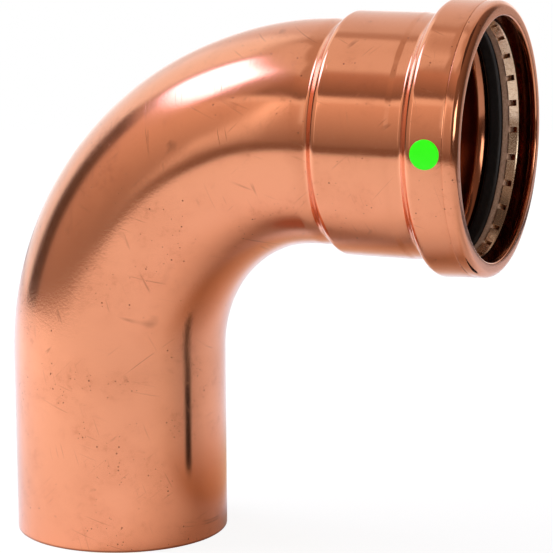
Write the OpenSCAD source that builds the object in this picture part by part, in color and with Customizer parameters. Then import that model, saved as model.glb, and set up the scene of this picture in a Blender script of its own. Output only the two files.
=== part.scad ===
// Copper street elbow for press-fit pipework.
// One bent tube: a plain tube end below, a quarter bend, and a press socket with its bead at the mouth.
// The bead is a chamber that holds a rubber seal, a plastic separator and a slotted steel grip ring.
// The origin is the centre of the tube end's face, +Z runs up the tube end, +X out of the socket's mouth.

/* [Tube] */
// Outside diameter of the tube end and of the bend
tube_od = 66.68; // [64:0.01:70]
// Wall thickness of the copper
wall = 2.4; // [2:0.1:2.8]
// Straight length of the tube end below the bend
spigot_len = 57; // [45:0.1:90]
// Centre-line radius of the bend
bend_r = 72.7; // [60:0.1:110]

/* [Socket] */
// Straight neck between the bend and the first step
neck_len = 4.4; // [2.5:0.1:10]
// Length of the first step, from the neck up to the socket
step_len = 2.9; // [2.4:0.1:4]
// Gap on the diameter between the socket's bore and the tube that goes into it
bore_gap = 0.62; // [0.3:0.02:0.9]
// How far the socket stands out from the tube, on the radius
socket_rise = 3.16; // [3:0.02:3.6]
// Length from the first step's foot to the bead's foot
socket_len = 30; // [24:0.1:40]
// Length of the shallow waist next to the bead
waist_len = 5.5; // [4.5:0.1:8]
// Length over which the socket narrows to that waist
waist_ramp = 1.6; // [0.8:0.1:2.4]
// Depth of that waist, on the radius
waist_depth = 0.2; // [0.05:0.05:0.3]

/* [Bead] */
// How far the bead stands out from the tube, on the radius
bead_rise = 7.74; // [7.4:0.02:8.2]
// Length of the step from the waist up to the bead
bead_step = 3.2; // [2.6:0.1:3.6]
// Length of the bead, from its foot to the mouth
bead_len = 17.9; // [17.8:0.1:22]
// How much the bead tapers towards the mouth, on the radius
bead_taper = 0.6; // [0.3:0.05:0.8]
// Outside radius of the rolled-in lip
lip_round = 2.1; // [1.8:0.1:2.5]
// Thickness of the lip at its rolled-in edge
lip_t = 2.8; // [1.8:0.1:3]
// How far the mouth opens beyond the tube, on the radius
lip_gap = 3.8; // [3.5:0.02:3.9]
// Distance of the scribed line from the mouth
line_back = 4.1; // [3.5:0.1:8]
// Depth of the scribed line
line_depth = 0.2; // [0.1:0.05:0.3]

/* [Rings] */
// Radius of the chamber inside the bead, beyond the tube
chamber_gap = 4.96; // [4.8:0.02:5.2]
// Distance of the grip ring's front from the mouth
grip_back = 4.75; // [3.5:0.05:5.5]
// Length of the grip ring along the socket
grip_w = 3.4; // [3:0.05:3.6]
// Thickness of the grip ring's strip
grip_t = 0.9; // [0.7:0.05:1.1]
// How far the grip ring's lip flares towards the mouth, on the radius
grip_flare = 1.5; // [1:0.05:1.8]
// Gap on the radius between the tube and the grip ring's biting edge
grip_gap = 0.56; // [0.4:0.02:0.8]
// Number of slots round the grip ring
slot_count = 26; // [20:1:32]
// Width of each slot
slot_w = 1.8; // [1.5:0.1:2.5]
// Length of each slot, from the grip ring's rear
slot_len = 2.4; // [2:0.05:2.5]
// Angle of the first slot, from +Y towards +Z
slot_turn = -2.8; // [-6:0.1:6]
// Length of the separator ring along the socket
separator_w = 2.3; // [2:0.05:2.5]
// Gap on the radius between the tube and the separator ring
separator_gap = 0.96; // [0.5:0.02:1.2]
// Length of the sealing ring's inner face along the socket
seal_w = 4.6; // [4.3:0.05:4.8]
// Gap on the radius between the tube and the sealing ring before pressing
seal_gap = 0.41; // [0.36:0.01:0.6]

/* [Hidden] */
$fn = 128;
arc_steps = 6;

copper = [0.80, 0.50, 0.35];
black_rubber = [0.07, 0.07, 0.07];
brown_plastic = [0.43, 0.33, 0.27];
bright_steel = [0.78, 0.76, 0.72];

// Radii of the tube, of the water way in it, and along the socket
tube_r = tube_od / 2;
water_r = tube_r - wall;
bore_r = tube_r + bore_gap / 2;
socket_r = tube_r + socket_rise;
waist_r = socket_r - waist_depth;
bead_r = tube_r + bead_rise;
chamber_r = tube_r + chamber_gap;
lip_r = tube_r + lip_gap;

// Places along the socket, measured from the tube end's axis
axis_h = spigot_len + bend_r;
step_x = bend_r + neck_len;
bead_x = step_x + socket_len;
mouth_x = bead_x + bead_len;
line_x = mouth_x - line_back;
grip_x = mouth_x - grip_back - grip_w;
separator_x = grip_x - separator_w;
seal_x = separator_x - seal_w;

// Fillets of the formed copper and its cut edges
step_round = 2.6;
bead_round = 2.8;
foot_round = 1.8;
inner_round = 1;
nose_round = min(0.45 * lip_t, 0.9 * (bead_radius(mouth_x) - lip_r - lip_round));
lip_inner_round = 0.3;
heel_round = 0.9 * (chamber_r - lip_r - lip_inner_round);
cut_round = 0.45;
line_half_w = 0.2;

// Where the seal rests on the chamber's shoulder, in from the chamber's wall, and the room left there
seat_top = 0.95;
seat_bottom = 1.6;
seat_gap = 0.01;
seal_relief = 1.2;
seal_round = 1.1;
ring_round = 0.35;
strip_bend = 0.5;
strip_round = 0.2;

// Points of the arc that rounds corner b between its neighbours a and c
function unit(v) = v / norm(v);
function turn(a) = a > 180 ? a - 360 : a < -180 ? a + 360 : a;
function corner_arc(a, b, c, r) =
    let (
        to_a = unit(a - b),
        to_c = unit(c - b),
        half = acos(to_a * to_c) / 2,
        centre = b + unit(to_a + to_c) * r / sin(half),
        from = b + to_a * r / tan(half) - centre,
        to = b + to_c * r / tan(half) - centre,
        start = atan2(from[1], from[0]),
        step = turn(atan2(to[1], to[0]) - start) / arc_steps
    )
    [for (i = [0:arc_steps]) centre + r * [cos(start + step * i), sin(start + step * i)]];

// A closed outline from corners given as [radius, place along the axis, rounding]
function spot(corner) = [corner[0], corner[1]];
function outline(corners) =
    let (n = len(corners))
    [for (i = [0:n - 1])
        let (a = corners[(i + n - 1) % n], b = corners[i], c = corners[(i + 1) % n])
        each b[2] == 0 ? [spot(b)] : corner_arc(spot(a), spot(b), spot(c), b[2])];

// The inner face of a step follows its outer face at the wall's thickness, also round its foot
function inside_x(r, foot_x, foot_r, run, rise) =
    foot_x + (r - foot_r) * run / rise + wall / sin(atan2(rise, run));
function stop_x(r) = inside_x(r, step_x, tube_r, step_len, socket_rise);
function shoulder_x(r) = inside_x(r, bead_x, waist_r, bead_step, bead_r - waist_r);

// Radius of the tapered bead at a place along the socket
function bead_radius(x) = bead_r - bead_taper * (x - bead_x - bead_step) / (bead_len - bead_step);

// Turns a section about the socket's axis
module about_socket() {
    translate([0, 0, axis_h]) rotate([0, 90, 0]) children();
}

// Straight tube end
module tube_end() {
    rotate_extrude()
        polygon(outline([
            [water_r, 0, cut_round],
            [tube_r, 0, cut_round],
            [tube_r, spigot_len, 0],
            [water_r, spigot_len, 0],
        ]));
}

// Quarter bend from the tube end to the socket
module quarter_bend() {
    translate([bend_r, 0, spigot_len]) rotate([90, 0, 0])
        rotate_extrude(angle = 90, start = 90)
            translate([bend_r, 0])
                difference() {
                    circle(r = tube_r);
                    circle(r = water_r);
                }
}

// Neck, socket, bead and rolled-in lip, as one wall
module press_socket() {
    about_socket()
        rotate_extrude()
            polygon(outline([
                [tube_r, bend_r, 0],
                [tube_r, step_x, step_round],
                [socket_r, step_x + step_len, step_round],
                [socket_r, bead_x - waist_len, 0],
                [waist_r, bead_x - waist_len + waist_ramp, 0],
                [waist_r, bead_x, foot_round],
                [bead_r, bead_x + bead_step, bead_round],
                [bead_radius(line_x - line_half_w), line_x - line_half_w, 0],
                [bead_radius(line_x) - line_depth, line_x, 0],
                [bead_radius(line_x + line_half_w), line_x + line_half_w, 0],
                [bead_radius(mouth_x), mouth_x, lip_round],
                [lip_r, mouth_x, nose_round],
                [lip_r, mouth_x - lip_t, heel_round],
                [chamber_r, mouth_x - lip_t, lip_inner_round],
                [chamber_r, shoulder_x(chamber_r), inner_round],
                [bore_r, shoulder_x(bore_r), foot_round + wall],
                [bore_r, stop_x(bore_r), inner_round],
                [water_r, stop_x(water_r), step_round + wall],
                [water_r, bend_r, 0],
            ]));
}

// One-piece copper body
module elbow_body() {
    color(copper)
        union() {
            tube_end();
            quarter_bend();
            press_socket();
        }
}

// Rubber seal, seated on the chamber's shoulder
module sealing_ring() {
    inner_r = tube_r + seal_gap;
    low_r = chamber_r - seat_bottom;
    high_r = chamber_r - seat_top;
    color(black_rubber)
        about_socket()
            rotate_extrude()
                polygon(outline([
                    [inner_r, seal_x, seal_round],
                    [inner_r, separator_x, seal_round],
                    [chamber_r, separator_x, ring_round],
                    [chamber_r, shoulder_x(chamber_r) + seal_relief, ring_round],
                    [high_r, shoulder_x(high_r) + seat_gap, 0],
                    [low_r, shoulder_x(low_r) + seat_gap, 0],
                ]));
}

// Plastic ring that keeps the grip ring off the seal
module separator_ring() {
    inner_r = tube_r + separator_gap;
    color(brown_plastic)
        about_socket()
            rotate_extrude()
                polygon(outline([
                    [inner_r, separator_x, ring_round],
                    [inner_r, grip_x, ring_round],
                    [chamber_r, grip_x, ring_round],
                    [chamber_r, separator_x, ring_round],
                ]));
}

// Section of the grip ring: a web against the separator, and a lip that flares from its biting edge
module grip_section() {
    edge_r = tube_r + grip_gap;
    front_x = grip_x + grip_w;
    web_x = grip_x + grip_t;
    lean = grip_flare / grip_w;
    lip_h = grip_t * sqrt(1 + lean * lean);
    polygon(outline([
        [edge_r, grip_x, 0],
        [chamber_r, grip_x, 0],
        [chamber_r, web_x, 0],
        [edge_r + lean * grip_t + lip_h, web_x, strip_bend],
        [edge_r + grip_flare + lip_h, front_x, strip_round],
        [edge_r + grip_flare, front_x, strip_round],
    ]));
}

// One slot, cut from the rear of the grip ring for a given length
module grip_slot(turned, length) {
    past = 1;
    rotate([0, 0, 90 + turned])
        translate([tube_r, -slot_w / 2, grip_x - past])
            cube([chamber_gap + past, slot_w, length + past]);
}

// Steel grip ring: slots part its web and lip into fingers on one front rim, and one cut splits the ring
module grip_ring() {
    color(bright_steel)
        about_socket()
            difference() {
                rotate_extrude() grip_section();
                for (i = [0:slot_count - 1])
                    grip_slot(slot_turn + 360 * i / slot_count, slot_len);
                grip_slot(slot_turn + 180, grip_w + 1);
            }
}

elbow_body();
sealing_ring();
separator_ring();
grip_ring();
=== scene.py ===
"""Copper street elbow for press-fit pipework, dressed for a studio picture.

The copper body, its seal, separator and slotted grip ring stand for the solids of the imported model.
Sizes are in millimetres and become metres where a mesh is made.
"""

import logging
import math
from dataclasses import dataclass
from enum import Enum
from functools import partial
from typing import Any, Callable, ClassVar, Iterable

import bmesh
import bpy
from bpy.types import Material, Mesh, Node, NodeSocket, NodeTree, Object, World
from mathutils import Matrix, Vector


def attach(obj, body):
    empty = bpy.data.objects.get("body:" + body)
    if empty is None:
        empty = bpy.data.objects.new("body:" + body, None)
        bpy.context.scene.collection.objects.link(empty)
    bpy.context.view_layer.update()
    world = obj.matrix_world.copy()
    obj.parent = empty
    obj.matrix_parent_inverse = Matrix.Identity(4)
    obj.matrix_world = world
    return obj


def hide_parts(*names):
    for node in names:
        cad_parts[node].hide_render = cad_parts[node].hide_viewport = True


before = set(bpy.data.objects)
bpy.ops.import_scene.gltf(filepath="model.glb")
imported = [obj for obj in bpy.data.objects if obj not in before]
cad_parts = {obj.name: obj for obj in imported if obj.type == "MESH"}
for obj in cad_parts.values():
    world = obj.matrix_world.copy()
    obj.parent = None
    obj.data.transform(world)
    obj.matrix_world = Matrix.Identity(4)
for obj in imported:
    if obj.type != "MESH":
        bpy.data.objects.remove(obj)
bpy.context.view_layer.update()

MM = 0.001
BODY = "root"
PICTURE_PX = 553
SENSOR_MM = 36.0
NOISE_MIDDLE = 0.5
LOG = logging.getLogger("street_elbow")

Colour = tuple[float, float, float, float]
Pair = tuple[float, float]
Triple = tuple[float, float, float]
Rule = tuple[tuple[Any, ...], ...]
Adder = Callable[..., Node]


class Slot(Enum):
    """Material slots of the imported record."""

    COPPER = "copper"
    RUBBER = "rubber"
    PLASTIC = "plastic"
    STEEL = "steel"
    PAINT = "dot_paint"


def linear(hex_colour: str, level: float = 1.0) -> Colour:
    """Turns an sRGB hex colour to linear light.

    Args:
        hex_colour: Six hex digits with a leading hash.
        level: Factor on the light, for a colour that shines.

    Returns:
        Red, green, blue and an alpha of one.
    """
    parts = [int(hex_colour[i:i + 2], 16) / 255 for i in (1, 3, 5)]
    light = [c / 12.92 if c <= 0.04045 else ((c + 0.055) / 1.055) ** 2.4 for c in parts]
    return (light[0] * level, light[1] * level, light[2] * level, 1.0)


def add_node(tree: NodeTree, kind: str, inputs: dict[Any, Any] | None = None, **settings: Any) -> Node:
    """Adds one node with its settings, values and links.

    Args:
        tree: Tree that takes the node.
        kind: Blender's name of the node type.
        inputs: Values by socket name or number; a node or socket is linked.
        **settings: Properties of the node.

    Returns:
        The new node.
    """
    node = tree.nodes.new(kind)
    for name, value in settings.items():
        setattr(node, name, value)
    for key, value in (inputs or {}).items():
        if isinstance(value, Node):
            value = next(out for out in value.outputs if out.enabled)
        if isinstance(value, NodeSocket):
            tree.links.new(value, node.inputs[key])
        else:
            node.inputs[key].default_value = value
    return node


def empty_tree(owner: Material | World) -> Adder:
    """Gives a new material or world a tree with no nodes.

    Args:
        owner: The new material or world.

    Returns:
        The function that adds a node to that tree.
    """
    owner.use_nodes = True
    owner.node_tree.nodes.clear()
    return partial(add_node, owner.node_tree)


def geometry_tree(name: str, seed: str, sizes: dict[str, str]) -> tuple[NodeTree, dict[str, str]]:
    """Makes a Geometry Nodes tree with named inputs and no nodes.

    Args:
        name: Name of the tree.
        seed: Name of the geometry that it starts from.
        sizes: Kinds of its other inputs by name.

    Returns:
        The tree, and the identifiers of those inputs by name.
    """
    tree = bpy.data.node_groups.new(name, "GeometryNodeTree")
    tree.is_modifier = True
    face = tree.interface
    face.new_socket(name=seed, in_out="INPUT", socket_type="NodeSocketGeometry")
    keys = {
        size: face.new_socket(name=size, in_out="INPUT", socket_type="NodeSocket" + kind).identifier
        for size, kind in sizes.items()}
    face.new_socket(name="Piece", in_out="OUTPUT", socket_type="NodeSocketGeometry")
    return tree, keys


def mesh_of(name: str, shape: bmesh.types.BMesh) -> Mesh:
    """Turns a finished shape to a mesh and frees it.

    Args:
        name: Name of the mesh.
        shape: The shape.

    Returns:
        The mesh.
    """
    mesh = bpy.data.meshes.new(name)
    shape.to_mesh(mesh)
    shape.free()
    return mesh


def new_piece(name: str, mesh: Mesh) -> Object:
    """Puts a mesh in the scene as an untransformed object.

    Args:
        name: Name of the object.
        mesh: Its mesh.

    Returns:
        The object.
    """
    piece = bpy.data.objects.new(name, mesh)
    bpy.context.scene.collection.objects.link(piece)
    return piece


def hand_in(piece: Object, node: str = "") -> None:
    """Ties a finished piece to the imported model.

    Args:
        piece: The finished object.
        node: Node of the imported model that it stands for, if any.
    """
    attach(piece, BODY)
    if node:
        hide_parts(node)
    LOG.info("%s: %d faces on %s", piece.name, len(piece.data.polygons), BODY)


# Finishes


@dataclass(frozen=True)
class SatinCopper:
    """Wrought copper, drawn and then tumbled to a satin polish.

    The eye gets warm mirror-like bands with grainy edges, and over them the specks, hair scratches and dull
    patches that soft copper picks up in a bin of fittings. The calibrated socket is the most polished, and a
    film of polish pales the edges that are seen aslant. The bore, chamber and lip are darker, partly the real
    copper's darker annealed surface and grease and partly painted shade of the recess, and the cut edge at
    the foot takes the same dark colour as painted contact shade.
    """

    bright: str = "#F6A57A"
    dull: str = "#E39268"
    speck: str = "#6E3820"
    # dark colour of bore, chamber and lip, partly real darker copper and partly painted shade; painted
    # contact shade on the cut edge
    skin_and_shade: str = "#7E3E22"
    satin: float = 0.13
    scuffed: float = 0.05
    calibrated: float = 0.1
    drawn: float = 0.18
    film: float = 1.0
    film_ior: float = 1.3
    film_haze: float = 0.2
    cloud_mm: float = 13.0
    rub_mm: float = 2.4
    grain_mm: float = 0.8
    turning_mm: float = 0.45
    speck_mm: Pair = (2.3, 1.3)
    scratch_mm: float = 6.0
    scratch_run: float = 30.0
    scratch_breaks: float = 0.09
    scratch_ways: tuple[Pair, ...] = ((0.35, 1.0), (-0.75, 1.6), (1.3, 1.3))
    # where each trace starts and where it is full, in its pattern's value or in millimetres along the path
    patch_edge: Pair = (0.4, 0.68)
    rub_edge: Pair = (0.5, 0.7)
    speck_least: Pair = (0.92, 0.45)
    speck_edge: Pair = (0.15, 0.06)
    scratch_edge: Pair = (0.01, 0.002)
    scratch_shown: Pair = (0.58, 0.74)
    bend_from_mm: Pair = (42.0, 72.0)
    bend_to_mm: Pair = (148.2, 114.0)
    socket_from_mm: Pair = (167.5, 175.5)
    # what each trace does to the tone, to the roughness and, in millimetres, to the height
    patch_tone: float = 0.3
    scuff_tone: float = 0.5
    speck_strength: float = 0.8
    scratch_strength: float = 0.4
    patch_rough: float = 0.03
    scuff_rough: float = 0.06
    mark_rough: float = 0.15
    grain_height: float = 0.003
    gripped_height: float = 0.017
    scuff_height: float = -0.002
    turning_height: float = 0.0016
    mark_height: float = -0.02

    def material(self) -> Material:
        """Makes the copper's material.

        Returns:
            The material, for a piece with the attribute along and the share of its dark colour.
        """
        made = bpy.data.materials.new("satin_wrought_copper")
        add = empty_tree(made)
        place = add("ShaderNodeTexCoord").outputs["Object"]
        mm = add("ShaderNodeVectorMath", {0: place, "Scale": 1 / MM}, operation="SCALE")
        along, inside = (
            add("ShaderNodeAttribute", attribute_name=name).outputs["Fac"]
            for name in ("along", "inside"))
        along_mm = add("ShaderNodeMath", {0: along, 1: 1 / MM}, operation="MULTIPLY")

        cloud, rub, grain = (
            add("ShaderNodeTexNoise", {"Vector": mm, "Scale": 1 / size, **finer})
            for size, finer in (
                (self.cloud_mm, {"Detail": 3.0}), (self.rub_mm, {"Detail": 5.0, "Roughness": 0.65}),
                (self.grain_mm, {"Detail": 2.0})))
        turning = add(
            "ShaderNodeTexNoise", {"W": along_mm, "Scale": 1 / self.turning_mm, "Detail": 2.0},
            noise_dimensions="1D")
        patch, rubbed, socket, bend_start, bend_end = (
            add(
                "ShaderNodeMapRange", {"Value": value, "From Min": clear, "From Max": full},
                interpolation_type="SMOOTHSTEP")
            for value, (clear, full) in (
                (cloud, self.patch_edge), (rub, self.rub_edge), (along_mm, self.socket_from_mm),
                (along_mm, self.bend_from_mm), (along_mm, self.bend_to_mm)))
        scuff, turned, gripped = (
            add("ShaderNodeMath", {0: one, 1: other}, operation="MULTIPLY")
            for one, other in ((rubbed, patch), (turning, socket), (bend_start, bend_end)))
        marks: Any = 0.0
        for strength, traces in (
                (self.speck_strength, self._specks(add, mm, patch)),
                (self.scratch_strength, self._scratches(add, mm))):
            for trace in traces:
                shown = add("ShaderNodeMath", {0: trace, 1: strength}, operation="MULTIPLY")
                marks = add("ShaderNodeMath", {0: marks, 1: shown}, operation="MAXIMUM")

        polish = add(
            "ShaderNodeMapRange", {"Value": socket, "To Min": self.satin, "To Max": self.calibrated})
        coarse = add(
            "ShaderNodeMath", {0: gripped, 1: self.gripped_height, 2: self.grain_height},
            operation="MULTIPLY_ADD")
        grained = add("ShaderNodeMath", {0: grain, 1: coarse}, operation="MULTIPLY")
        sums = []
        for total, traces in (
                (0.0, ((scuff, self.scuff_tone), (patch, self.patch_tone))),
                (polish, ((gripped, self.scuffed), (patch, self.patch_rough), (scuff, self.scuff_rough),
                          (marks, self.mark_rough))),
                (grained, ((scuff, self.scuff_height), (turned, self.turning_height),
                           (marks, self.mark_height)))):
            for trace, gain in traces:
                total = add("ShaderNodeMath", {0: trace, 1: gain, 2: total}, operation="MULTIPLY_ADD")
            sums.append(total)
        tone, worn, height = sums

        colour: Any = linear(self.bright)
        # the last mix brings in the dark colour: in the bore partly real darker copper, partly painted shade;
        # at the cut edge painted contact shade
        for share, over in ((tone, self.dull), (marks, self.speck), (inside, self.skin_and_shade)):
            colour = add(
                "ShaderNodeMix", {0: share, 6: colour, 7: linear(over)}, data_type="RGBA").outputs[2]
        rough, film = (
            add("ShaderNodeMix", {0: inside, 2: outside, 3: within}, data_type="FLOAT")
            for outside, within in ((worn, self.drawn), (self.film, 0.0)))
        bump = add("ShaderNodeBump", {"Height": height, "Distance": MM, "Strength": 1.0})
        shader = add(
            "ShaderNodeBsdfPrincipled",
            {"Base Color": colour, "Metallic": 1.0, "Roughness": rough, "Normal": bump,
             "Coat Weight": film, "Coat Roughness": self.film_haze, "Coat IOR": self.film_ior})
        add("ShaderNodeOutputMaterial", {"Surface": shader})
        return made

    def _specks(self, add: Adder, mm: Node, patch: Node) -> list[Node]:
        """Small dents on a share of scattered cells, thickest in the dull patches.

        Args:
            add: Adds a node to the copper's tree.
            mm: Node that gives the place in millimetres.
            patch: Node that gives the dull patches.

        Returns:
            A node for each size of dent.
        """
        sparse, thick = self.speck_least
        rim, core = self.speck_edge
        least = add("ShaderNodeMapRange", {"Value": patch, "To Min": sparse, "To Max": thick})
        specks = []
        for cell_mm in self.speck_mm:
            cells = add("ShaderNodeTexVoronoi", {"Vector": mm, "Scale": 1 / cell_mm}).outputs
            dot = add(
                "ShaderNodeMapRange", {"Value": cells["Distance"], "From Min": rim, "From Max": core},
                interpolation_type="SMOOTHSTEP")
            chosen = add("ShaderNodeMath", {0: cells["Color"], 1: least}, operation="GREATER_THAN")
            specks.append(add("ShaderNodeMath", {0: dot, 1: chosen}, operation="MULTIPLY"))
        return specks

    def _scratches(self, add: Adder, mm: Node) -> list[Node]:
        """Thin broken lines in three directions.

        Args:
            add: Adds a node to the copper's tree.
            mm: Node that gives the place in millimetres.

        Returns:
            A node for each direction.
        """
        run = self.scratch_run
        through = run ** 3  # long enough that a line goes straight through the part
        scratches = []
        for turn, gap in self.scratch_ways:
            laid = add(
                "ShaderNodeMapping",
                {"Vector": mm, "Rotation": (0.0, turn, 0.0), "Scale": (run, through, 1.0)},
                vector_type="TEXTURE")
            lines = add(
                "ShaderNodeTexNoise", {"Vector": laid, "Scale": gap / self.scratch_mm, "Detail": 0.0})
            middle = add("ShaderNodeMath", {0: lines, 1: NOISE_MIDDLE}, operation="SUBTRACT")
            middle = add("ShaderNodeMath", {0: middle}, operation="ABSOLUTE")
            broken = add(
                "ShaderNodeTexNoise", {"Vector": mm, "Scale": gap * self.scratch_breaks, "Detail": 1.0})
            thin, shown = (
                add("ShaderNodeMapRange", {"Value": value, "From Min": clear, "From Max": full})
                for value, (clear, full) in ((middle, self.scratch_edge), (broken, self.scratch_shown)))
            scratches.append(add("ShaderNodeMath", {0: thin, 1: shown}, operation="MULTIPLY"))
        return scratches


@dataclass(frozen=True)
class SpeckledFinish:
    """A moulded, stamped or printed surface with a fine speckle in its tone, gloss and height.

    Black EPDM rubber keeps a dull mould surface, the glass-filled plastic a satin one, stamped stainless
    steel a bright surface with faint rolling marks, and the fluorescent paint an even film. The steel's front
    faces in the recess behind the lip take a dark colour that is painted shade, and the paint's glow is
    painted light that makes it shine a little by itself.
    """

    name: str
    light: str
    dark: str
    roughness: float
    speckle_mm: float
    relief_mm: float
    stretch: float = 1.0
    metallic: float = 0.0
    gloss_spread: float = 0.08
    glow: float = 0.0
    # colour of painted shade, for faces that a piece marks
    recess_shade: str = "#000000"
    TONE_EDGE: ClassVar[Pair] = (0.35, 0.65)
    GLOSS_EDGE: ClassVar[Pair] = (0.3, 0.7)

    def material(self) -> Material:
        """Makes the finish's material.

        Returns:
            The material; faces that a piece marks with the attribute for it get the painted shade.
        """
        made = bpy.data.materials.new(self.name)
        add = empty_tree(made)
        place = add("ShaderNodeTexCoord").outputs["Object"]
        laid = add(
            "ShaderNodeMapping", {"Vector": place, "Scale": (1 / MM, self.stretch / MM, self.stretch / MM)})
        speckle = add("ShaderNodeTexNoise", {"Vector": laid, "Scale": 1 / self.speckle_mm, "Detail": 3.0})
        dull, bright = self.roughness + self.gloss_spread, self.roughness - self.gloss_spread
        tone, rough = (
            add(
                "ShaderNodeMapRange",
                {"Value": speckle, "From Min": clear, "From Max": full, "To Min": low, "To Max": high})
            for (clear, full), low, high in ((self.TONE_EDGE, 0.0, 1.0), (self.GLOSS_EDGE, dull, bright)))
        # faces marked by this attribute get painted shade
        recess_shade = add("ShaderNodeAttribute", attribute_name="recess_shade").outputs["Fac"]
        colour: Any = linear(self.dark)
        for share, over in ((tone, self.light), (recess_shade, self.recess_shade)):
            colour = add(
                "ShaderNodeMix", {0: share, 6: colour, 7: linear(over)}, data_type="RGBA").outputs[2]
        bump = add("ShaderNodeBump", {"Height": speckle, "Distance": self.relief_mm * MM, "Strength": 1.0})
        shader = add(
            "ShaderNodeBsdfPrincipled",
            {"Base Color": colour, "Metallic": self.metallic, "Roughness": rough, "Normal": bump,
             "Emission Color": linear(self.light), "Emission Strength": self.glow})
        add("ShaderNodeOutputMaterial", {"Surface": shader})
        return made


BLACK_RUBBER = SpeckledFinish("moulded_epdm_rubber", "#1C1A19", "#100F0E", 0.46, 0.7, 0.01)
BROWN_PLASTIC = SpeckledFinish("moulded_glass_filled_plastic", "#C4A088", "#A88670", 0.4, 0.6, 0.006)
# its dark colour on the ring's front faces is painted shade of the recess behind the lip
STAMPED_STEEL = SpeckledFinish(
    "stamped_stainless_steel", "#FCE2C4", "#E6C8A8", 0.24, 1.2, 0.002, 3.0, 1.0, recess_shade="#4A3426")
# the glow is painted light: the dot shines a little by itself, brighter than the lamps make it
GREEN_PAINT = SpeckledFinish("printed_fluorescent_paint", "#30FF06", "#2AF804", 0.42, 0.8, 0.003, glow=0.25)


# Swept walls


@dataclass(frozen=True)
class Corner:
    """One corner of a section: its place along the path, its radius and its rounding, in millimetres."""

    along: float
    radius: float
    rounding: float = 0.0
    steps: int = 6
    inside: float = 0.0

    def spot(self) -> Vector:
        """The corner as a point of the section's plane."""
        return Vector((self.along, self.radius))


def round_corner(before: Corner, corner: Corner, after: Corner) -> list[Vector]:
    """Replaces a corner by the points of its rounding.

    Args:
        before: Neighbour on one side.
        corner: The corner to round.
        after: Neighbour on the other side.

    Returns:
        Points in order, from the neighbour before to the one after.
    """
    middle = corner.spot()
    if corner.rounding == 0:
        return [middle]
    back = (before.spot() - middle).normalized()
    on = (after.spot() - middle).normalized()
    half = back.angle(on) / 2
    centre = middle + (back + on).normalized() * corner.rounding / math.sin(half)
    first = middle + back * corner.rounding / math.tan(half) - centre
    last = middle + on * corner.rounding / math.tan(half) - centre
    start = math.atan2(first.y, first.x)
    sweep = (math.atan2(last.y, last.x) - start + math.pi) % math.tau - math.pi
    angles = [start + sweep * i / corner.steps for i in range(corner.steps + 1)]
    return [centre + corner.rounding * Vector((math.cos(a), math.sin(a))) for a in angles]


def section_points(corners: Iterable[Corner], longest: float) -> list[Vector]:
    """Makes a closed section with rounded corners and no long run between points.

    Args:
        corners: Corners in order round the section.
        longest: Longest distance between two points, in millimetres.

    Returns:
        Points of the closed section: place and radius in millimetres, and the share of the dark colour, up to
            1.
    """
    ring = list(corners)
    rounded = []
    for i, corner in enumerate(ring):
        arc = round_corner(ring[i - 1], corner, ring[(i + 1) % len(ring)])
        rounded += [Vector((point.x, point.y, corner.inside)) for point in arc]
    points = []
    for i, point in enumerate(rounded):
        following = rounded[(i + 1) % len(rounded)]
        cuts = max(1, math.ceil((following - point).length / longest))
        points += [point.lerp(following, k / cuts) for k in range(cuts)]
    return points


@dataclass(frozen=True)
class BentPath:
    """The fitting's centre line: straight up, a quarter bend, then straight along +X."""

    tube_len: float = 57.0
    bend_r: float = 72.7
    sides: int = 192

    @property
    def axis_h(self) -> float:
        """Height of the socket's axis."""
        return self.tube_len + self.bend_r

    def along(self, x: float) -> float:
        """Length of the path up to a place x on the socket's axis."""
        return self.tube_len + self.bend_r * (math.pi / 2 - 1) + x


@dataclass(frozen=True)
class Unevenness:
    """How a bent tube leaves the true round, in millimetres: none for the rings."""

    flatten: float = 0.0
    swell: float = 0.0
    waves: float = 0.0
    wave_mm: float = 22.0


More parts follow.
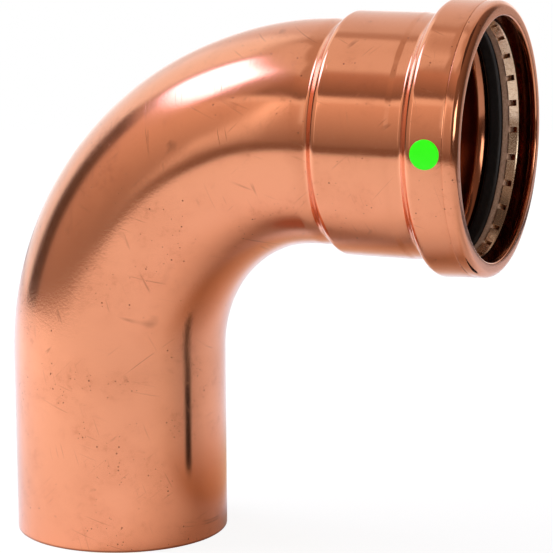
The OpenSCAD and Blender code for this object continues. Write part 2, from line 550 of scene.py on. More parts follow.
class SweptWall:
    """Geometry Nodes tree that carries a closed section round the bent path.

    Each step of a rule has the name of its result, an operation, and the names or numbers that it works on.
    """

    SIZES: ClassVar[dict[str, str]] = {
        "Tube length": "Float", "Bend radius": "Float", "Sides": "Int", "Flatten": "Float", "Swell": "Float",
        "Waves": "Float", "Wave size": "Float", "Finish": "Material"}
    BEND_RULE: ClassVar[Rule] = (
        ("turn", "DIVIDE", math.tau, "Sides"),
        ("theta", "MULTIPLY", "column", "turn"),
        ("past", "SUBTRACT", "along", "Tube length"),
        ("phi", "DIVIDE", "past", "Bend radius"),
        ("phi", "MAXIMUM", "phi", 0.0),
        ("phi", "MINIMUM", "phi", math.pi / 2),
        ("bent", "MULTIPLY", "phi", "Bend radius"),
        ("over", "SUBTRACT", "past", "bent"),
        ("sin_phi", "SINE", "phi"),
        ("cos_phi", "COSINE", "phi"),
        ("sin_theta", "SINE", "theta"),
        ("cos_theta", "COSINE", "theta"),
        ("double", "MULTIPLY", "phi", 2.0),
        ("mid_bend", "SINE", "double"),
        ("flat", "MULTIPLY", "mid_bend", "Flatten"),
    )
    PLACE_RULE: ClassVar[Rule] = (
        ("swollen", "MULTIPLY", "near_end", "Swell"),
        ("swollen", "MULTIPLY", "swollen", "before_step"),
        ("radius", "ADD", "radius", "swollen"),
        ("in_plane", "SUBTRACT", "radius", "flat"),
        ("outward", "MULTIPLY", "in_plane", "cos_theta"),
        ("y", "MULTIPLY", "radius", "sin_theta"),
        ("lever", "ADD", "Bend radius", "outward"),
        ("x", "MULTIPLY", "lever", "cos_phi"),
        ("x", "SUBTRACT", "Bend radius", "x"),
        ("x", "MULTIPLY_ADD", "over", "sin_phi", "x"),
        ("z", "MULTIPLY_ADD", "lever", "sin_phi", "Tube length"),
        ("z", "MULTIPLY_ADD", "over", "cos_phi", "z"),
    )
    # the bend's last part, in radians, over which it swells, and the run past it where that ends
    SWELL_RUN: ClassVar[float] = 0.4
    SWELL_END_MM: ClassVar[Pair] = (3.5, 1.0)
    # places along the path where the waves start to calm and are calmed, and the share that stays
    CALM_MM: ClassVar[Pair] = (168.0, 178.0)
    CALM_LEFT: ClassVar[float] = 0.15
    MERGE_MM: ClassVar[float] = 0.002

    def __init__(self) -> None:
        """Builds the tree."""
        self.tree, self.keys = geometry_tree("swept_wall", "Section", self.SIZES)
        self._lay_out()

    def _lay_out(self) -> None:
        """Adds the nodes: a grid, its rule for each point, unevenness, and the closing of its seams."""
        add = partial(add_node, self.tree)
        given = add("NodeGroupInput").outputs
        count = add(
            "GeometryNodeAttributeDomainSize", {0: given["Section"]},
            component="MESH").outputs["Point Count"]
        rows, columns = (
            add("FunctionNodeIntegerMath", {0: cells, 1: 1}, operation="ADD")
            for cells in (count, given["Sides"]))
        grid = add("GeometryNodeMeshGrid", {"Vertices X": rows, "Vertices Y": columns}).outputs["Mesh"]
        index = add("GeometryNodeInputIndex")
        row, column = (
            add("FunctionNodeIntegerMath", {0: index, 1: columns}, operation=operation)
            for operation in ("DIVIDE_FLOOR", "MODULO"))
        row = add("FunctionNodeIntegerMath", {0: row, 1: count}, operation="MODULO")
        position = add("GeometryNodeInputPosition")
        spot = add(
            "GeometryNodeSampleIndex", {"Geometry": given["Section"], "Value": position, "Index": row},
            data_type="FLOAT_VECTOR", domain="POINT")
        along, radius, inside = add("ShaderNodeSeparateXYZ", {0: spot}).outputs

        known: dict[Any, Any] = {name: given[name] for name in self.SIZES}
        known |= {"column": column, "along": along, "radius": radius}
        for name, operation, *values in self.BEND_RULE:
            inputs = {i: known.get(value, value) for i, value in enumerate(values)}
            known[name] = add("ShaderNodeMath", inputs, operation=operation)
        known["near_end"] = add(
            "ShaderNodeMapRange",
            {"Value": known["phi"], "From Min": math.pi / 2 - self.SWELL_RUN, "From Max": math.pi / 2},
            interpolation_type="SMOOTHSTEP")
        none, full = self.SWELL_END_MM
        known["before_step"] = add(
            "ShaderNodeMapRange", {"Value": known["over"], "From Min": none * MM, "From Max": full * MM})
        for name, operation, *values in self.PLACE_RULE:
            inputs = {i: known.get(value, value) for i, value in enumerate(values)}
            known[name] = add("ShaderNodeMath", inputs, operation=operation)
        place = add("ShaderNodeCombineXYZ", {axis.upper(): known[axis] for axis in "xyz"})

        wall = add("GeometryNodeSetPosition", {"Geometry": grid, "Position": place})
        for name, value in (("along", along), ("inside", inside)):
            wall = add(
                "GeometryNodeStoreNamedAttribute", {"Geometry": wall, "Name": name, "Value": value},
                data_type="FLOAT", domain="POINT")
        wall = add("GeometryNodeMergeByDistance", {"Geometry": wall, "Distance": self.MERGE_MM * MM})
        scale = add("ShaderNodeMath", {0: 1.0, 1: given["Wave size"]}, operation="DIVIDE")
        noise = add("ShaderNodeTexNoise", {"Vector": position, "Scale": scale, "Detail": 1.0})
        wave = add("ShaderNodeMath", {0: noise, 1: NOISE_MIDDLE}, operation="SUBTRACT")
        full, calmed = self.CALM_MM
        calm = add(
            "ShaderNodeMapRange",
            {"Value": add("GeometryNodeInputNamedAttribute", {"Name": "along"}, data_type="FLOAT"),
             "From Min": full * MM, "From Max": calmed * MM, "To Min": 1.0, "To Max": self.CALM_LEFT})
        for factor in (given["Waves"], calm):
            wave = add("ShaderNodeMath", {0: wave, 1: factor}, operation="MULTIPLY")
        push = add(
            "ShaderNodeVectorMath", {0: add("GeometryNodeInputNormal"), "Scale": wave}, operation="SCALE")
        wall = add("GeometryNodeSetPosition", {"Geometry": wall, "Offset": push})
        for kind in ("GeometryNodeSetShadeSmooth", "GeometryNodeRealizeInstances"):
            wall = add(kind, {"Geometry": wall})
        wall = add("GeometryNodeSetMaterial", {"Geometry": wall, "Material": given["Finish"]})
        add("NodeGroupOutput", {0: wall})

    def sweep(self, name: str, points: list[Vector], path: BentPath, finish: Material,
              uneven: Unevenness = Unevenness()) -> Object:
        """Makes a piece from a section.

        Args:
            name: Name of the piece.
            points: Closed section, from section_points.
            path: Centre line to follow.
            finish: Material of the piece.
            uneven: Departure from the true round.

        Returns:
            The piece, as a plain mesh.
        """
        mesh = bpy.data.meshes.new(name)
        mesh.from_pydata([(p.x * MM, p.y * MM, p.z) for p in points], [], [])
        values = {
            "Tube length": path.tube_len * MM, "Bend radius": path.bend_r * MM, "Sides": path.sides,
            "Flatten": uneven.flatten * MM, "Swell": uneven.swell * MM, "Waves": uneven.waves * MM,
            "Wave size": uneven.wave_mm * MM, "Finish": finish}
        return grow(name, mesh, self.tree, {self.keys[key]: value for key, value in values.items()})


def grow(name: str, seed: Mesh, tree: NodeTree, values: dict[str, Any]) -> Object:
    """Runs a Geometry Nodes tree on a mesh and keeps the result as a plain mesh.

    Args:
        name: Name of the piece.
        seed: Mesh that the tree starts from.
        tree: The tree.
        values: Input values by socket identifier.

    Returns:
        The piece, with no modifier on it.
    """
    piece = new_piece(name, seed)
    modifier = piece.modifiers.new("made", "NODES")
    modifier.node_group = tree
    for key, value in values.items():
        modifier[key] = value
    view = bpy.context.evaluated_depsgraph_get()
    made = bpy.data.meshes.new_from_object(
        piece.evaluated_get(view), preserve_all_data_layers=True, depsgraph=view)
    piece.modifiers.clear()
    piece.data = made
    made.name = name
    bpy.data.meshes.remove(seed)
    return piece


# The fitting


@dataclass(frozen=True)
class ElbowBody:
    """One-piece copper body: tube end, quarter bend, press socket, bead and rolled-in lip."""

    path: BentPath
    tube_r: float = 33.34
    wall: float = 2.4
    step_x: float = 77.1
    step_len: float = 2.9
    socket_r: float = 36.5
    bore_r: float = 33.65
    bead_x: float = 107.1
    waist_len: float = 5.5
    waist_ramp: float = 1.6
    waist_r: float = 36.3
    bead_step: float = 3.2
    bead_r: float = 41.08
    bead_taper: float = 0.6
    mouth_x: float = 125.0
    line_x: float = 120.9
    line_half_w: float = 0.15
    line_depth: float = 0.2
    step_round: float = 2.6
    foot_round: float = 1.8
    bead_round: float = 2.8
    waist_round: float = 3.0
    line_round: float = 0.04
    inner_round: float = 1.0
    cut_round: float = 0.45
    lip_round: float = 2.1
    nose_round: float = 0.55
    heel_round: float = 0.77
    lip_inner_round: float = 0.3
    lip_r: float = 36.0
    lip_t: float = 2.2
    chamber_r: float = 38.3
    # dark shares: bore, chamber and lip partly real darker copper, partly painted shade; cut edge painted
    # contact shade
    bore_skin_and_shade: float = 0.48
    lip_skin_and_shade: float = 0.25
    cut_edge_shade: float = 0.6
    longest: float = 2.2
    uneven: Unevenness = Unevenness(flatten=0.35, swell=0.5, waves=0.07)

    def bead_radius(self, x: float) -> float:
        """Radius of the tapered bead at a place along the socket."""
        start = self.bead_x + self.bead_step
        return self.bead_r - self.bead_taper * (x - start) / (self.mouth_x - start)

    def inside_x(self, r: float, foot_x: float, foot_r: float, run: float, rise: float) -> float:
        """Place on a step's inner face, which follows the outer one at the wall's thickness."""
        return foot_x + (r - foot_r) * run / rise + self.wall / math.sin(math.atan2(rise, run))

    def stop_x(self, r: float) -> float:
        """Place of the tube stop's face at a radius."""
        return self.inside_x(r, self.step_x, self.tube_r, self.step_len, self.socket_r - self.tube_r)

    def shoulder_x(self, r: float) -> float:
        """Place of the chamber's shoulder at a radius."""
        return self.inside_x(r, self.bead_x, self.waist_r, self.bead_step, self.bead_r - self.waist_r)

    def corners(self) -> list[Corner]:
        """Lists the corners of the wall's section.

        Returns:
            Corners up the outside to the mouth and back down the inside.
        """
        water_r = self.tube_r - self.wall
        at, skin_and_shade = self.path.along, self.bore_skin_and_shade
        line, waist_x = self.line_x, self.bead_x - self.waist_len
        outer = [
            # the cut edge at the foot takes painted contact shade
            Corner(0, self.tube_r, self.cut_round, 4, self.cut_edge_shade),
            Corner(2 * self.cut_round, self.tube_r),
            Corner(at(self.step_x), self.tube_r, self.step_round, 10),
            Corner(at(self.step_x + self.step_len), self.socket_r, self.step_round, 10),
            Corner(at(waist_x), self.socket_r, self.waist_round, 4),
            Corner(at(waist_x + self.waist_ramp), self.waist_r, self.waist_round, 4),
            Corner(at(self.bead_x), self.waist_r, self.foot_round, 10),
            Corner(at(self.bead_x + self.bead_step), self.bead_r, self.bead_round, 12),
            Corner(at(line - self.line_half_w), self.bead_radius(line), self.line_round, 2),
            Corner(at(line), self.bead_radius(line) - self.line_depth),
            Corner(at(line + self.line_half_w), self.bead_radius(line), self.line_round, 2),
            Corner(at(self.mouth_x), self.bead_radius(self.mouth_x), self.lip_round, 12),
            Corner(at(self.mouth_x), self.lip_r, self.nose_round, 10),
        ]
        inner = [
            Corner(at(self.mouth_x - self.lip_t), self.lip_r, self.heel_round, 8, self.lip_skin_and_shade),
            Corner(at(self.mouth_x - self.lip_t), self.chamber_r, self.lip_inner_round, 5, 1.0),
            Corner(at(self.shoulder_x(self.chamber_r)), self.chamber_r, self.inner_round, 6, 1.0),
            Corner(at(self.shoulder_x(self.bore_r)), self.bore_r, self.foot_round + self.wall, 12, skin_and_shade),
            Corner(at(self.stop_x(self.bore_r)), self.bore_r, self.inner_round, 6, skin_and_shade),
            Corner(at(self.stop_x(water_r)), water_r, self.step_round + self.wall, 10, skin_and_shade),
            Corner(0, water_r, self.cut_round, 4, skin_and_shade),
        ]
        return outer + inner

    def build(self, wall: SweptWall) -> None:
        """Makes the body and dresses it in copper.

        Args:
            wall: Tree that sweeps its section.
        """
        points = section_points(self.corners(), self.longest)
        piece = wall.sweep("copper_body", points, self.path, SatinCopper().material(), self.uneven)
        hand_in(piece, "elbow_body")


@dataclass(frozen=True)
class ChamberRings:
    """Seal and separator that lie in the bead's chamber behind the grip ring."""

    body: ElbowBody
    separator_x: float = 114.55
    separator_w: float = 2.3
    separator_r: float = 34.3
    seal_w: float = 4.6
    seal_r: float = 33.75
    seat_top: float = 0.95
    seat_bottom: float = 1.6
    seal_relief: float = 1.2
    bead_round: float = 1.1
    edge_round: float = 0.35
    longest: float = 1.0

    def seal_corners(self) -> list[Corner]:
        """Lists the corners of the seal's section.

        Returns:
            Corners from the bead's rear, by the seat on the chamber's shoulder, to its front.
        """
        at, outer = self.body.path.along, self.body.chamber_r
        low, high = outer - self.seat_bottom, outer - self.seat_top
        front = self.separator_x
        return [
            Corner(at(front - self.seal_w), self.seal_r, self.bead_round, 7),
            Corner(at(self.body.shoulder_x(low)), low),
            Corner(at(self.body.shoulder_x(high)), high),
            Corner(at(self.body.shoulder_x(outer) + self.seal_relief), outer, self.edge_round, 3),
            Corner(at(front), outer, self.edge_round, 3),
            Corner(at(front), self.seal_r, self.bead_round, 7),
        ]

    def separator_corners(self) -> list[Corner]:
        """Lists the corners of the separator's section.

        Returns:
            The four corners of a plain strip.
        """
        at, outer = self.body.path.along, self.body.chamber_r
        rear, front = self.separator_x, self.separator_x + self.separator_w
        return [
            Corner(at(x), r, self.edge_round, 4)
            for x, r in ((rear, self.separator_r), (rear, outer), (front, outer), (front, self.separator_r))]

    def build(self, wall: SweptWall) -> None:
        """Makes both rings and dresses them.

        Args:
            wall: Tree that sweeps their sections.
        """
        seal, separator = self.seal_corners(), self.separator_corners()
        for name, corners, finish, slot, node in (
                ("rubber_seal", seal, BLACK_RUBBER, Slot.RUBBER, "sealing_ring"),
                ("plastic_separator", separator, BROWN_PLASTIC, Slot.PLASTIC, "separator_ring")):
            points = section_points(corners, self.longest)
            hand_in(wall.sweep(name, points, self.body.path, finish.material()), node)


@dataclass(frozen=True)
class GripRing:
    """Slotted steel ring of angle section: a front rim all round, and behind it fingers that bite."""

    axis_h: float
    outer_r: float = 38.3
    rear_x: float = 116.85
    width: float = 2.8
    strip: float = 0.9
    edge_r: float = 33.9
    flare: float = 1.24
    bend: float = 0.5
    slots: int = 26
    slot_w: float = 1.8
    slot_len: float = 2.2
    slot_turn: float = -2.8
    edge_bevel: float = 0.1
    bevel_from_deg: float = 25.0
    sharp_from_deg: float = 20.0
    facing: float = 0.5
    root: float = 0.1
    rim_steps: int = 312
    finger_steps: int = 12

    @property
    def front_x(self) -> float:
        """Place of the ring's front edge."""
        return self.rear_x + self.width

    @property
    def joint_x(self) -> float:
        """Place where the slots end and the front rim begins."""
        return self.rear_x + self.slot_len

    @property
    def lip_h(self) -> float:
        """Thickness of the flared lip, measured on the radius."""
        return self.strip * math.hypot(1, self.flare / self.width)

    def lip_r(self, x: float) -> float:
        """Radius of the flared lip's inner face at a place along the socket."""
        return self.edge_r + self.flare * (x - self.rear_x) / self.width

    def finger_section(self) -> list[Pair]:
        """Draws the section of a finger, whose root sinks into the rim.

        Returns:
            Points of the section: place along the socket and radius.
        """
        web_x, root_x = self.rear_x + self.strip, self.joint_x + self.root
        corners = [
            Corner(web_x, self.outer_r), Corner(web_x, self.lip_r(web_x) + self.lip_h, self.bend, 4),
            Corner(self.joint_x, self.lip_r(self.joint_x) + self.lip_h)]
        inner_bend = [(point.x, point.y) for point in round_corner(*corners)]
        return [
            (self.rear_x, self.outer_r), (self.rear_x, self.edge_r), (self.joint_x, self.lip_r(self.joint_x)),
            (root_x, self.lip_r(root_x) + self.root), (root_x, self.lip_r(root_x) + self.lip_h - self.root),
            (self.joint_x, self.lip_r(self.joint_x) + self.lip_h), *reversed(inner_bend),
            (web_x, self.outer_r)]

    def rim_section(self) -> list[Pair]:
        """Section of the front rim, place along the socket and radius."""
        ends = (self.joint_x, self.front_x)
        return [(x, self.lip_r(x)) for x in ends] + [(x, self.lip_r(x) + self.lip_h) for x in reversed(ends)]

    def turned(self, section: list[Pair], first: float, last: float, steps: int) -> bmesh.types.BMesh:
        """Turns a section part of the way round the socket's axis, with ends cut square to a slot.

        Args:
            section: Closed section.
            first: Angle of the slot's middle before it, from +Y towards +Z, in radians.
            last: Angle of the slot's middle after it.
            steps: Number of steps between the ends.

        Returns:
            A closed mesh about the X axis, in metres, with its free edges broken.
        """
        made = bmesh.new()
        rows = []
        for k in range(steps + 1):
            row = []
            for x, r in section:
                cut = math.asin(self.slot_w / 2 / r)
                a = first + cut + (last - first - 2 * cut) * k / steps
                row.append(made.verts.new((x * MM, r * math.cos(a) * MM, r * math.sin(a) * MM)))
            rows.append(row)
        count = len(section)
        for low, high in zip(rows, rows[1:]):
            for i in range(count):
                made.faces.new((low[i], low[(i + 1) % count], high[(i + 1) % count], high[i]))
        made.faces.new(list(reversed(rows[0])))
        made.faces.new(rows[-1])
        bmesh.ops.recalc_face_normals(made, faces=made.faces)
        bmesh.ops.bevel(
            made, geom=[edge for edge in made.edges if self.free(edge)], offset=self.edge_bevel * MM,
            segments=2, profile=0.5, affect="EDGES", clamp_overlap=True)
        return made

    def free(self, edge: bmesh.types.BMEdge) -> bool:
        """Tells whether an edge is sharp and clear of the joint between fingers and rim."""
        rear, front = (self.joint_x - self.root) * MM, (self.joint_x + 2 * self.root) * MM
        clear = any(vert.co.x < rear or vert.co.x > front for vert in edge.verts)
        return clear and edge.calc_face_angle(0.0) > math.radians(self.bevel_from_deg)

    def spread_tree(self) -> tuple[NodeTree, dict[str, str]]:
        """Builds the tree that sets a finger between each pair of slots.

        Returns:
            The tree, and the identifiers of its inputs by name.
        """
        tree, keys = geometry_tree(
            "finger_ring", "Finger", {"Count": "Int", "Turn": "Float", "Finish": "Material"})
        add = partial(add_node, tree)
        given = add("NodeGroupInput").outputs
        points = add("GeometryNodePoints", {"Count": given["Count"]})
        pitch = add("ShaderNodeMath", {0: math.tau, 1: given["Count"]}, operation="DIVIDE")
        angle = add(
            "ShaderNodeMath", {0: add("GeometryNodeInputIndex"), 1: pitch, 2: given["Turn"]},
            operation="MULTIPLY_ADD")
        about_axis = add("ShaderNodeCombineXYZ", {"X": angle})
        rotation = add("FunctionNodeEulerToRotation", {0: about_axis})
        ring = add(
            "GeometryNodeInstanceOnPoints",
            {"Points": points, "Instance": given["Finger"], "Rotation": rotation})
        ring = add("GeometryNodeRealizeInstances", {"Geometry": ring})
        ring = add("GeometryNodeSetMaterial", {"Geometry": ring, "Material": given["Finish"]})
        add("NodeGroupOutput", {0: ring})
        return tree, keys

    def build(self) -> None:
        """Makes the ring and dresses it in steel."""
        steel = STAMPED_STEEL.material()
        pitch = math.tau / self.slots
        finger = mesh_of("finger", self.turned(self.finger_section(), 0.0, pitch, self.finger_steps))
        tree, keys = self.spread_tree()
        turn = math.radians(self.slot_turn)
        piece = grow(
            "steel_grip_ring", finger, tree,
            {keys["Count"]: self.slots, keys["Turn"]: turn, keys["Finish"]: steel})

        # the rim goes once round, from the split opposite the first slot
        rim = self.turned(self.rim_section(), turn + math.pi, turn + 3 * math.pi, self.rim_steps)
        rim.from_mesh(piece.data)
        rim.transform(Matrix.Translation((0, 0, self.axis_h * MM)))
        # painted shade on the rim's front faces, which sit in the dark recess behind the lip
        recess_shade = rim.faces.layers.float.new("recess_shade")
        for face in rim.faces:
            face.smooth = True
            face.material_index = 0
            forward = face.normal.x > self.facing
            face[recess_shade] = float(forward and face.calc_center_median().x > self.joint_x * MM)
        rim.to_mesh(piece.data)
        rim.free()
        piece.data.set_sharp_from_angle(angle=math.radians(self.sharp_from_deg))
        piece.data.materials.clear()
        piece.data.materials.append(steel)
        hand_in(piece, "grip_ring")


@dataclass(frozen=True)
class PaintDot:
    """Round colour-code dot printed on the near side of the bead."""

    body: ElbowBody
    x: float = 115.85
    rise_deg: float = 0.7
    across: float = 8.6
    film: float = 0.04
    rim_power: int = 8
    rings: int = 10
    sides: int = 72

    def film_height(self, share: float) -> float:
        """Height of the film above the copper, thinning at its rim."""
        return self.film * math.sqrt(max(0.0, 1 - share ** self.rim_power))

    def build(self) -> None:
        """Makes the dot as a closed film wrapped on the bead."""
        made = bmesh.new()
        layers = []
        for lift in (True, False):
            layer = []
            for k in range(self.rings + 1):
                share = k / self.rings
                height = self.film_height(share) if lift else -self.film / 2
                spots = 1 if k == 0 else self.sides
                angles = [math.tau * i / self.sides for i in range(spots)]
                layer.append([made.verts.new(self.place(share, angle, height)) for angle in angles])
            layers.append(layer)
        for layer in layers:
            for i in range(self.sides):
                j = (i + 1) % self.sides
                made.faces.new((layer[0][0], layer[1][i], layer[1][j]))
                for inner, outer in zip(layer[1:], layer[2:]):
                    made.faces.new((inner[i], outer[i], outer[j], inner[j]))
        for i in range(self.sides):
            j = (i + 1) % self.sides
            made.faces.new((layers[0][-1][i], layers[1][-1][i], layers[1][-1][j], layers[0][-1][j]))
        bmesh.ops.recalc_face_normals(made, faces=made.faces)
        for face in made.faces:
            face.smooth = True
        mesh = mesh_of("paint_dot", made)
        mesh.materials.append(GREEN_PAINT.material())
        hand_in(new_piece("paint_dot", mesh))

    def place(self, share: float, angle: float, height: float) -> Vector:
        """Point of the film on the bead.

        Args:
            share: Distance from the dot's middle as a share of its radius.
            angle: Direction from the middle, in radians.
            height: Height above the copper, in millimetres.

        Returns:
            The point, in metres.
        """
        reach = share * self.across / 2
        x = self.x + reach * math.cos(angle)
        r = self.body.bead_radius(x)
        a = math.radians(self.rise_deg) + reach * math.sin(angle) / r
        out = r + height
        return Vector((x, -out * math.cos(a), self.body.path.axis_h + out * math.sin(a))) * MM


# The studio


class Tint(Enum):
    """Tints of the room's panels and lamps."""

    WHITE = "#FFFFFF"
    COOL = "#C8D8FF"
    PALE = "#FFF3EE"
    WARM = "#FFE3D3"
    BROWN = "#FFD4BC"
    VIOLET = "#CCCBFF"


def towards(azimuth: float, elevation: float) -> Vector:
    """Direction at an azimuth, counted from -Y towards +X, and an elevation, in degrees."""
    a, e = math.radians(azimuth), math.radians(elevation)
    return Vector((math.sin(a) * math.cos(e), -math.cos(a) * math.cos(e), math.sin(e)))


@dataclass(frozen=True)
class Card:
    """A soft-edged panel of the room that the metal mirrors, by its angles seen from the part.

    Longitude runs from the camera's side, to the right as the camera sees it; latitude is above the horizon.
    The two levels are the panel's light at its foot and at its top, where the white ground is one.
    """

    lon: float
    lat: float
    half_w: float
    half_h: float
    tint: Tint
    low: float
    high: float
    soft: float = 4.0


@dataclass(frozen=True)
class Lamp:
    """A rectangular soft box aimed at the part."""

    name: str
    lon: float
    lat: float
    half_w: float
    half_h: float
    level: float
    distance: float = 1.5
    tint: Tint = Tint.WHITE


@dataclass(frozen=True)
class PhotoCamera:
    """Camera at the photograph's viewing angle: angles in degrees, lengths in millimetres and pixels."""

    azimuth: float = 22.922
    elevation: float = 10.926
    roll: float = -0.31
    distance: float = 769.17
    focal_px: float = 2512.26
    target: Triple = (53.822, 0.0, 84.028)
    clip_m: Pair = (0.01, 20.0)

    def axes(self) -> tuple[Vector, Vector, Vector]:
        """Works out the camera's directions.

        Returns:
            Right, up and backward.
        """
        a, turn = math.radians(self.azimuth), math.radians(self.roll)
        back = towards(self.azimuth, self.elevation)
        right = Vector((math.cos(a), math.sin(a), 0))
        up = back.cross(right)
        return (
            math.cos(turn) * right + math.sin(turn) * up, math.cos(turn) * up - math.sin(turn) * right, back)

    def build(self) -> None:
        """Makes the camera and gives it to the scene."""
        right, up, back = self.axes()
        data = bpy.data.cameras.new("photo_camera")
        data.sensor_fit = "HORIZONTAL"
        data.sensor_width = SENSOR_MM
        data.lens = self.focal_px * SENSOR_MM / PICTURE_PX
        data.clip_start, data.clip_end = self.clip_m
        camera = bpy.data.objects.new("photo_camera", data)
        turn = Matrix((right, up, back)).transposed().to_4x4()
        camera.matrix_world = Matrix.Translation((Vector(self.target) + back * self.distance) * MM) @ turn
        bpy.context.scene.collection.objects.link(camera)
        bpy.context.scene.camera = camera


@dataclass(frozen=True)
class FloorPatch:
    """A soft-edged part of the floor with a colour seen as the metal mirrors it; some patches are painted
    shade.

    Its side is how far it lies towards a longitude, and its edges are distances from the foot of the part, in
    metres; each is a pair, where the colour starts and where it is full.
    """

    colour: str
    strength: float
    lon: float
    side: Pair
    edges: tuple[Pair, ...] = ()


@dataclass(frozen=True)
class Studio:
    """White paper floor, soft boxes and the room round them, in metres and degrees."""

    camera: PhotoCamera
    aim: Triple = (0.03, 0.0, 0.12)
    floor_r: float = 0.78
    floor_back: float = 0.18
    floor_sides: int = 128
    # reach from the foot of the part over which the paper's white goes from one level to the other
    shadow_edge: Pair = (0.12, 0.4)
    shadow_level: Pair = (0.85, 1.0)
    shine: float = 1.06
    ambient: tuple[str, float] = (Tint.WARM.value, 0.21)
    paper: str = "#EFEDEA"
    room: tuple[str, float] = (Tint.WARM.value, 0.5)
    rod_lon: float = 71.0
    rod_away: float = 0.122
    rod_r: float = 0.0075
    rod_h: float = 0.06
    rod_sides: int = 24
    rod_colour: str = "#140C08"
    # lamp power for each square metre of a soft box that is as bright as the white ground
    watts: float = 4.0
    patches: tuple[FloorPatch, ...] = (
        # painted shade on the paper beside the part, tinted warm like the light that the copper throws there
        FloorPatch("#CDAE8C", 1.0, 115, (0.035, 0.07), ((0.18, 0.08),)),
        # bare table behind the sheet
        FloorPatch("#3A2418", 1.0, 135, (0.2, 0.4), ((0.59, 0.63), (0.74, 0.70))),
        # painted shade, darker towards the sheet's front edge
        FloorPatch("#3A2418", 0.55, -50, (0.42, 0.72)),
    )
    lamps: tuple[Lamp, ...] = (
        Lamp("key_soft_box", -101.0, 46.0, 20.0, 12.0, 6.6, 1.0),
        Lamp("side_soft_box", 36.0, 14.5, 15.0, 10.0, 4.6),
        Lamp("back_soft_box", -135.0, 35.0, 12.0, 10.0, 8.5, 0.6, Tint.COOL),
    )
    cards: tuple[Card, ...] = (
        # ceiling
        Card(0, 80, 181, 20, Tint.WARM, 0.5, 0.57, 5.0),
        # dark part of it at the right
        Card(72, 66, 58, 17, Tint.BROWN, 0.05, 0.08, 4.0),
        # brighter part of it above the key soft box
        Card(-102, 65, 46, 8, Tint.PALE, 0.8, 0.78, 4.0),
        # dark loft between the left wall and the ceiling
        Card(-24, 47, 43, 11, Tint.BROWN, 0.17, 0.56, 3.0),
        # wall at the left, brighter towards its top
        Card(-62, 13, 46, 23, Tint.WARM, 0.22, 0.84, 2.0),
        # light post on it
        Card(-53.5, 15, 2.6, 18, Tint.PALE, 0.65, 1.5, 1.5),
        # lit top edge of that wall
        Card(-48, 34, 24, 2.2, Tint.PALE, 0.95, 0.95, 1.2),
        # bright door at that wall's right end
        Card(-23, 26, 7, 12, Tint.PALE, 0.72, 0.92, 2.0),
        # dark wall at the right
        Card(63, 22, 74, 34, Tint.BROWN, 0.08, 0.22, 3.0),
        # pale wall at the far left
        Card(-153, 22, 27, 33, Tint.WHITE, 0.97, 1.0, 4.0),
        # lit wall behind the part
        Card(172, 30, 27, 36, Tint.PALE, 0.95, 0.65, 5.0),
        # white backdrop
        Card(174, -5, 27, 14, Tint.WHITE, 1.15, 1.15, 5.0),
        # dark foot of the walls at the front
        Card(-30, -9, 47, 3.5, Tint.BROWN, 0.2, 0.22, 1.0),
        # dark stand at the left
        Card(-117, 11.5, 10.5, 17.5, Tint.BROWN, 0.06, 0.1, 1.0),
        # face of the key soft box
        Card(-101, 46, 19, 9.0, Tint.VIOLET, 6.0, 6.0, 3.5),
        # face of the side soft box
        Card(37, 14, 15, 9.5, Tint.WHITE, 3.0, 3.0, 2.0),
    )

    def direction(self, lon: float, lat: float) -> Vector:
        """Direction of a place in the room, from its angles."""
        return towards(self.camera.azimuth + lon, lat)

    def build(self) -> None:
        """Makes the floor, the soft boxes and the room."""
        self._floor()
        self._rod()
        for lamp in self.lamps:
            self._lamp(lamp)
        self._room()
        bpy.context.scene.view_settings.view_transform = "Standard"

    def _floor(self) -> None:
        """A round sheet of white paper under the part, white to the camera with the part's faint shadow."""
        made = bmesh.new()
        bmesh.ops.create_circle(
            made, cap_ends=True, cap_tris=False, segments=self.floor_sides, radius=self.floor_r)
        made.transform(Matrix.Translation(self.direction(180, 0) * self.floor_back))
        mesh = mesh_of("paper_floor", made)
        paper = bpy.data.materials.new("matt_white_paper")
        add = empty_tree(paper)
        rays, seen = self._rays(add)
        place = add("ShaderNodeTexCoord").outputs["Object"]
        reach = add("ShaderNodeVectorMath", {0: place}, operation="LENGTH").outputs["Value"]
        (near, far), (dim, full) = self.shadow_edge, self.shadow_level
        glow = add(
            "ShaderNodeMapRange",
            {"Value": reach, "From Min": near, "From Max": far, "To Min": dim, "To Max": full},
            interpolation_type="SMOOTHSTEP")
        white = add("ShaderNodeMath", {0: seen, 1: glow}, operation="MULTIPLY")
        ground: Any = linear(self.paper)
        # the paper as the metal mirrors it, with patches laid over it, some of them painted shade
        for patch in self.patches:
            side = add(
                "ShaderNodeVectorMath", {0: place, 1: self.direction(patch.lon, 0)},
                operation="DOT_PRODUCT").outputs["Value"]
            mask = add(
                "ShaderNodeMath", {0: rays["Is Glossy Ray"], 1: patch.strength}, operation="MULTIPLY")
            for value, (clear, full) in [(side, patch.side)] + [(reach, edge) for edge in patch.edges]:
                step = add(
                    "ShaderNodeMapRange", {"Value": value, "From Min": clear, "From Max": full},
                    interpolation_type="SMOOTHSTEP")
                mask = add("ShaderNodeMath", {0: mask, 1: step}, operation="MULTIPLY")
            ground = add(
                "ShaderNodeMix", {0: mask, 6: ground, 7: linear(patch.colour)}, data_type="RGBA").outputs[2]
        shade = add("ShaderNodeBsdfDiffuse", {"Color": ground})
        shine = add("ShaderNodeEmission", {"Color": (1, 1, 1, 1), "Strength": self.shine})
        mixed = add("ShaderNodeMixShader", {0: white, 1: shade, 2: shine})
        add("ShaderNodeOutputMaterial", {"Surface": mixed})
        mesh.materials.append(paper)
        new_piece("paper_floor", mesh)

    def _rays(self, add: Adder) -> tuple[Any, Node]:
        """Adds the light path to a tree.

        Args:
            add: Adds a node to the tree.

        Returns:
            The path's outputs, and the node that is one where the camera sees the surface itself.
        """
        rays = add("ShaderNodeLightPath").outputs
        return rays, add(
            "ShaderNodeMath", {0: rays["Is Camera Ray"], 1: rays["Is Transmission Ray"]},
            operation="MAXIMUM")

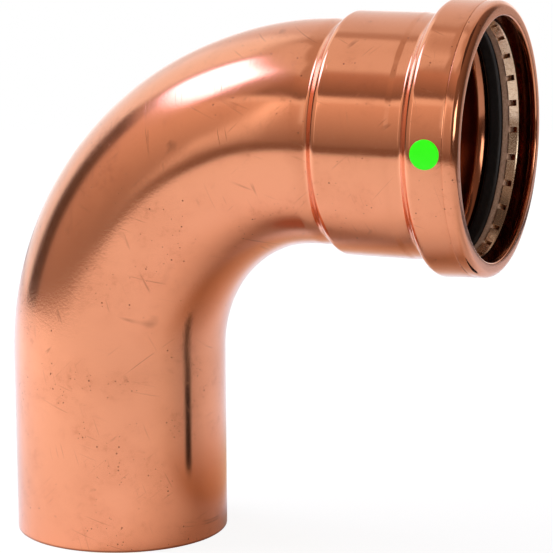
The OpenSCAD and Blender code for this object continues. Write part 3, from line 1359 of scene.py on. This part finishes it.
    def _rod(self) -> None:
        """A slim dark stand by the tube end, hidden from the camera, for the streak that metal mirrors."""
        made = bmesh.new()
        bmesh.ops.create_cone(
            made, cap_ends=True, segments=self.rod_sides, radius1=self.rod_r, radius2=self.rod_r,
            depth=self.rod_h)
        foot = self.direction(self.rod_lon, 0) * self.rod_away
        made.transform(Matrix.Translation(foot + Vector((0, 0, self.rod_h / 2))))
        mesh = mesh_of("dark_stand", made)
        black = bpy.data.materials.new("black_anodised_stand")
        add = empty_tree(black)
        shade = add("ShaderNodeBsdfDiffuse", {"Color": linear(self.rod_colour)})
        add("ShaderNodeOutputMaterial", {"Surface": shade})
        mesh.materials.append(black)
        stand = new_piece("dark_stand", mesh)
        stand.visible_camera = stand.visible_diffuse = stand.visible_shadow = False

    def _lamp(self, lamp: Lamp) -> None:
        """Makes a soft box aimed at the part; the metal mirrors its face from the room's panels.

        Args:
            lamp: The soft box.
        """
        data = bpy.data.lights.new(lamp.name, "AREA")
        data.shape = "RECTANGLE"
        data.size = 2 * lamp.distance * math.tan(math.radians(lamp.half_w))
        data.size_y = 2 * lamp.distance * math.tan(math.radians(lamp.half_h))
        data.energy = lamp.level * self.watts * data.size * data.size_y
        data.color = linear(lamp.tint.value)[:3]
        out = self.direction(lamp.lon, lamp.lat)
        box = bpy.data.objects.new(lamp.name, data)
        turn = out.to_track_quat("Z", "Y").to_matrix().to_4x4()
        box.matrix_world = Matrix.Translation(Vector(self.aim) + out * lamp.distance) @ turn
        box.visible_camera = box.visible_glossy = False
        bpy.context.scene.collection.objects.link(box)

    def _room(self) -> None:
        """The world: white to the camera, even light for matt surfaces, and the room's panels for metal."""
        world = bpy.data.worlds.new("studio_room")
        add = empty_tree(world)
        way = add("ShaderNodeTexCoord").outputs["Generated"]
        ahead, aside = (
            add(
                "ShaderNodeVectorMath", {0: way, 1: self.direction(angle, 0)},
                operation="DOT_PRODUCT").outputs["Value"]
            for angle in (0, 90))
        up = add("ShaderNodeSeparateXYZ", {0: way}).outputs["Z"]
        lon, lat = (
            add("ShaderNodeMath", {0: angle}, operation="DEGREES")
            for angle in (
                add("ShaderNodeMath", {0: aside, 1: ahead}, operation="ARCTAN2"),
                add("ShaderNodeMath", {0: up}, operation="ARCSINE")))
        colour: Any = linear(*self.room)
        for card in self.cards:
            colour = self._card(add, card, lon, lat, colour)
        rays, seen = self._rays(add)
        room, even, white = (
            add("ShaderNodeBackground", {"Color": light, "Strength": 1.0})
            for light in (colour, linear(*self.ambient), linear(Tint.WHITE.value)))
        lit = add("ShaderNodeMixShader", {0: rays["Is Diffuse Ray"], 1: room, 2: even})
        shown = add("ShaderNodeMixShader", {0: seen, 1: lit, 2: white})
        add("ShaderNodeOutputWorld", {"Surface": shown})
        bpy.context.scene.world = world

    def _card(self, add: Adder, card: Card, lon: Node, lat: Node, under: Any) -> NodeSocket:
        """Lays one panel over the room.

        Args:
            add: Adds a node to the world's tree.
            card: The panel.
            lon: Node that gives longitude in degrees.
            lat: Node that gives latitude in degrees.
            under: Colour or socket of what lies under the panel.

        Returns:
            Socket of the room's colour with the panel on it.
        """
        across = add("ShaderNodeMath", {0: lon, 1: card.lon}, operation="SUBTRACT")
        across = add("ShaderNodeMath", {0: across, 1: 180.0, 2: -180.0}, operation="WRAP")
        across = add("ShaderNodeMath", {0: across}, operation="ABSOLUTE")
        above = add("ShaderNodeMath", {0: lat, 1: card.lat}, operation="SUBTRACT")
        away = add("ShaderNodeMath", {0: above}, operation="ABSOLUTE")
        masks = [
            add(
                "ShaderNodeMapRange",
                {"Value": value, "From Min": half + card.soft, "From Max": half - card.soft},
                interpolation_type="SMOOTHSTEP")
            for value, half in ((across, card.half_w), (away, card.half_h))]
        mask = add("ShaderNodeMath", {0: masks[0], 1: masks[1]}, operation="MULTIPLY")
        rise = add(
            "ShaderNodeMapRange", {"Value": above, "From Min": -card.half_h, "From Max": card.half_h})
        tone = add(
            "ShaderNodeMix",
            {0: rise, 6: linear(card.tint.value, card.low), 7: linear(card.tint.value, card.high)},
            data_type="RGBA")
        return add("ShaderNodeMix", {0: mask, 6: under, 7: tone.outputs[2]}, data_type="RGBA").outputs[2]


def main() -> None:
    """Builds the fitting and its studio in order."""
    logging.basicConfig(level=logging.INFO, format="%(name)s: %(message)s")
    camera = PhotoCamera()
    camera.build()
    wall = SweptWall()
    body = ElbowBody(BentPath())
    body.build(wall)
    ChamberRings(body).build(wall)
    GripRing(body.path.axis_h).build()
    PaintDot(body).build()
    Studio(camera).build()


if __name__ == "__main__":
    main()
